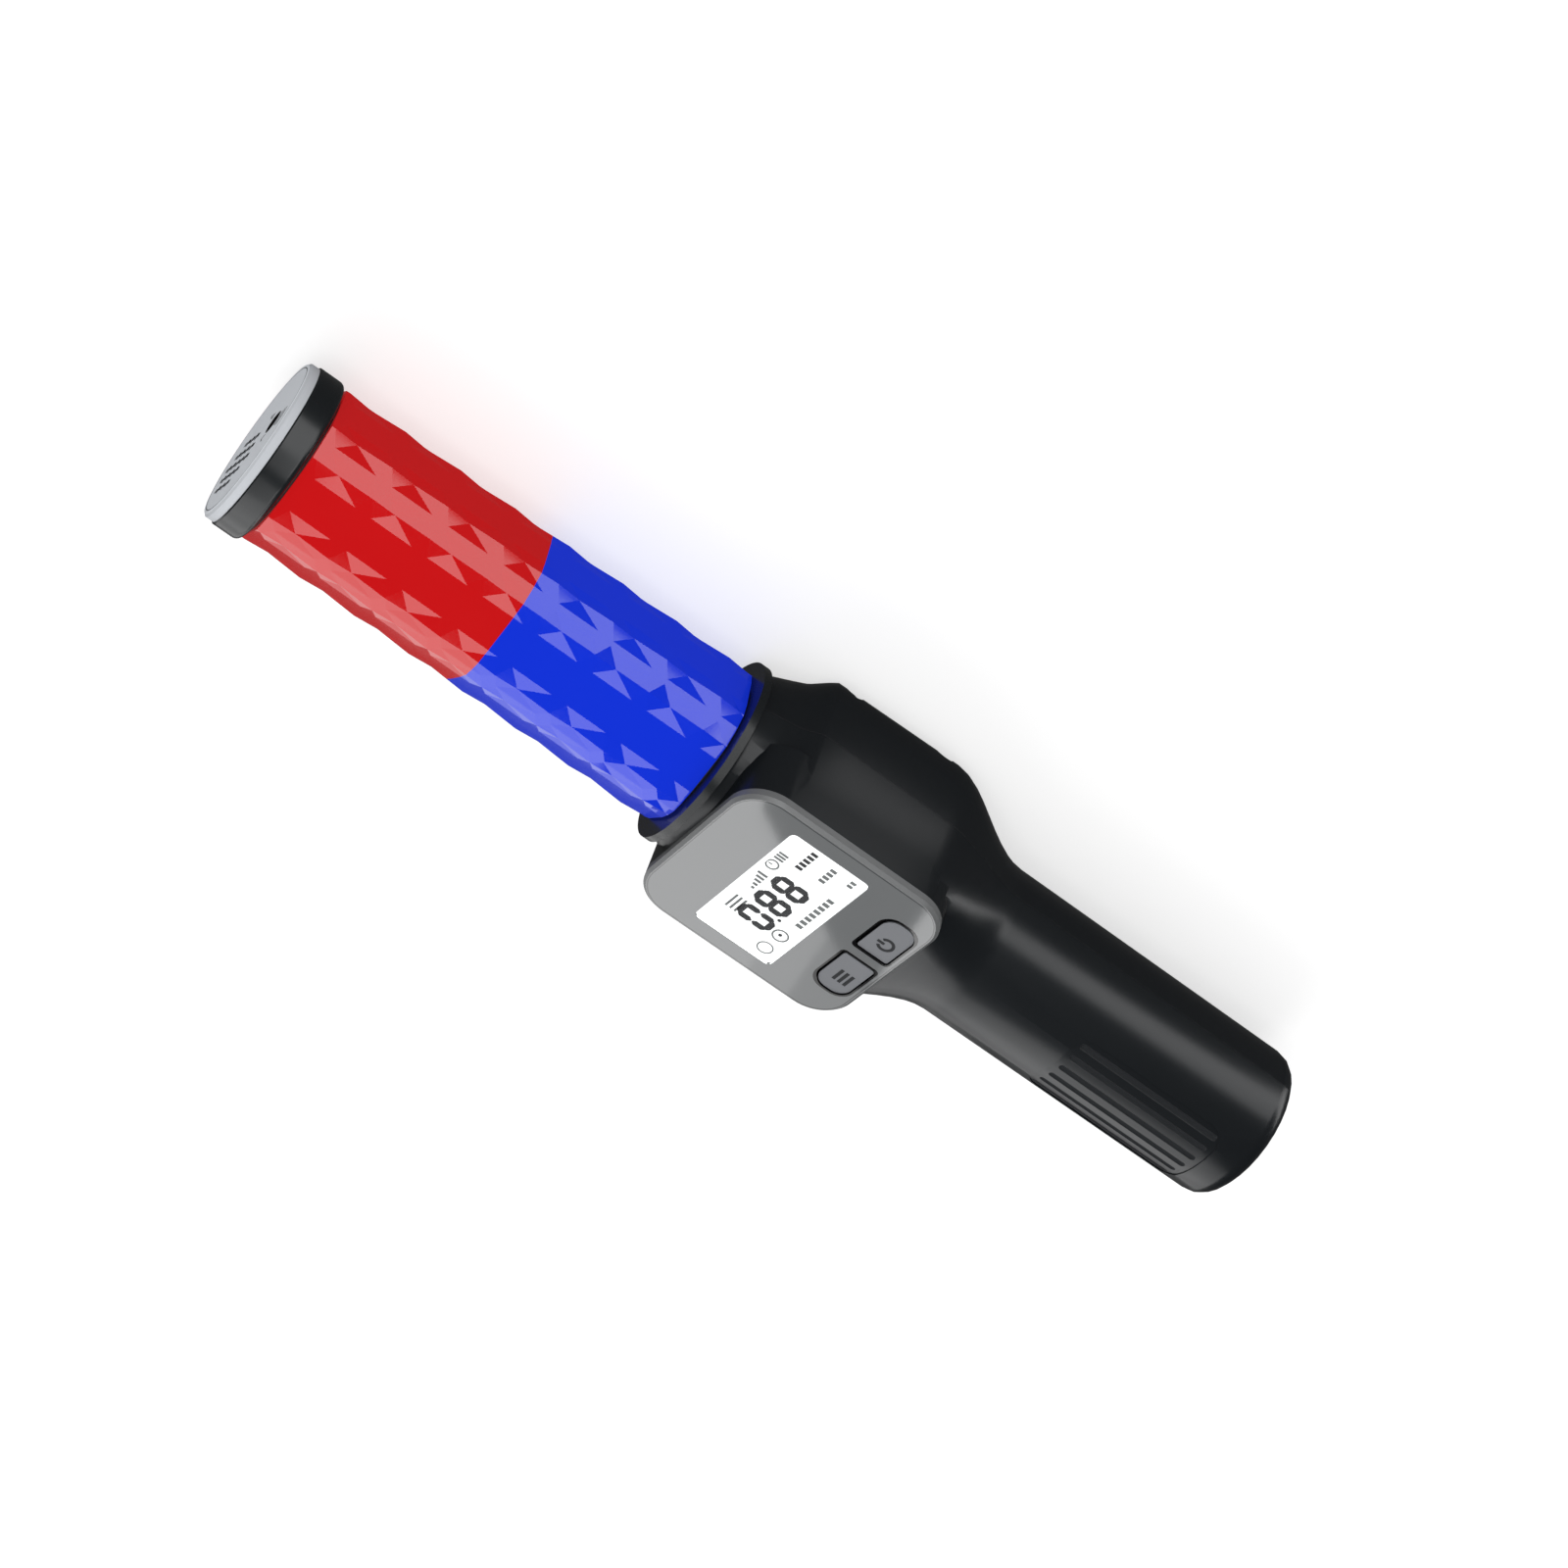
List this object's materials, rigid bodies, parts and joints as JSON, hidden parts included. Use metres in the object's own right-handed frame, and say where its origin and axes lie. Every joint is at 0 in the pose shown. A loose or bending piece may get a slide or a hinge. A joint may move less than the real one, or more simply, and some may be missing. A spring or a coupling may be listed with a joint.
{
  "type": "traffic baton light with breath tester",
  "caption": "Hand-held traffic baton with a faceted red and blue light tube, a display housing with push buttons, a breath inlet and grille in the tip, and a round grip.",
  "frame": {"origin": "centre of the overall box, at the level of the flat back that the baton lies on", "axes": "+X along the baton to the light tip, +Z out of the display, so the display reads towards -Y with its top at +X"},
  "size_m": [0.3624, 0.0674, 0.0625],
  "materials": {
    "plate": "satin, silver, with a bright bevel",
    "black_gloss": "glossy black",
    "black_shell": "satin black",
    "red_lens": "glossy red, faceted",
    "blue_lens": "glossy blue, faceted",
    "grey_panel": "grey, semi-gloss",
    "grey_button": "grey satin",
    "window": "clear",
    "lcd": "white display face",
    "rubber": "black",
    "dark_plastic": "moulded",
    "white_plastic": "moulded",
    "white_board": "white solder mask",
    "board": "green solder mask",
    "red_led": "tinted resin",
    "blue_led": "tinted resin",
    "cable": "flat flexible cable",
    "sensor_can": "metal can",
    "steel": "plain",
    "contact": "plated",
    "cell_wrap": "shrink wrap"
  },
  "bodies": {
    "baton": {"end_plate": "plate", "end_cap": "black_gloss", "tip_gasket": "rubber", "speaker": "dark_plastic", "gas_sensor": "sensor_can", "inlet_tube": "rubber", "sensor_board": "board", "red_lens": "red_lens", "lens_coupler": "white_plastic", "blue_lens": "blue_lens", "neck_gasket": "rubber", "light_spine": "white_plastic", "front_led_board": "white_board", "rear_led_board": "white_board", "red_leds": "red_led", "blue_leds": "blue_led", "flat_cable": "cable", "neck_ring": "black_gloss", "front_shell": "black_shell", "rear_shell": "black_shell", "panel_bezel": "grey_panel", "lcd_window": "window", "lcd_glass": "lcd", "lcd_backlight": "white_plastic", "main_board": "board", "board_screws": "steel", "tact_switches": "dark_plastic", "shell_screws": "steel", "battery_cradle": "dark_plastic", "battery_cells": "cell_wrap", "contact_plates": "contact", "contact_springs": "steel", "tail_plug": "black_shell", "charge_board": "board", "charge_port": "steel"},
    "power_button": {"power_button": "grey_button"},
    "mode_button": {"mode_button": "grey_button"},
    "port_cover": {"port_cover": "rubber"}
  },
  "joints": [
    {"name": "power_press", "type": "slide", "parent": "baton", "child": "power_button", "axis": [0, 0, -1], "range_m": [0, 0.0008], "stiffness_N_per_m": 900},
    {"name": "mode_press", "type": "slide", "parent": "baton", "child": "mode_button", "axis": [0, 0, -1], "range_m": [0, 0.0008], "stiffness_N_per_m": 900},
    {"name": "port_cover_hinge", "type": "hinge", "parent": "baton", "child": "port_cover", "pos_m": [-0.18045, 0, 0.03395], "axis": [0, 1, 0], "range_deg": [0, 90], "stiffness_Nm_per_rad": 0.001}
  ]
}
